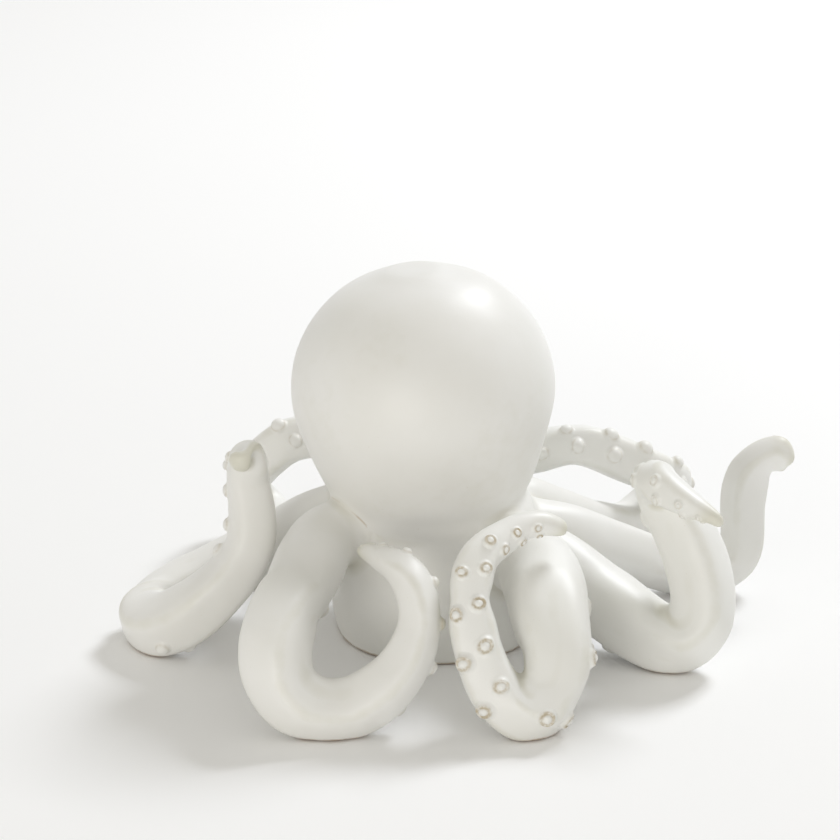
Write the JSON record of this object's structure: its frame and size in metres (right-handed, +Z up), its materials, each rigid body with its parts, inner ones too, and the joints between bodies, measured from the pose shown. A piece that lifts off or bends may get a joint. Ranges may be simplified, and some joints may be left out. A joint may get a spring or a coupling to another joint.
{
  "type": "octopus figurine",
  "caption": "Glazed ceramic octopus ornament: a leaning hollow mantle on a hollow collar, with curling arms that carry two rows of raised suckers.",
  "frame": {"origin": "middle of the collar's flat foot, on the surface that the figurine stands on", "axes": "+Z up through the collar, +X to the right and +Y to the back as seen from the front"},
  "size_m": [0.3165, 0.2735, 0.1762],
  "materials": {
    "white_glaze": "satin",
    "sucker_glaze": "satin"
  },
  "bodies": {
    "root": {"web_body": "white_glaze", "mantle": "white_glaze", "arm_front_left": "white_glaze", "arm_left": "white_glaze", "arm_back_left": "white_glaze", "arm_back": "white_glaze", "arm_back_right": "white_glaze", "arm_far_right": "white_glaze", "arm_right": "white_glaze", "arm_front_right": "white_glaze", "suckers_front_left": "sucker_glaze", "suckers_left": "sucker_glaze", "suckers_back_left": "sucker_glaze", "suckers_back": "sucker_glaze", "suckers_back_right": "sucker_glaze", "suckers_far_right": "sucker_glaze", "suckers_right": "sucker_glaze", "suckers_front_right": "sucker_glaze"}
  },
  "joints": []
}
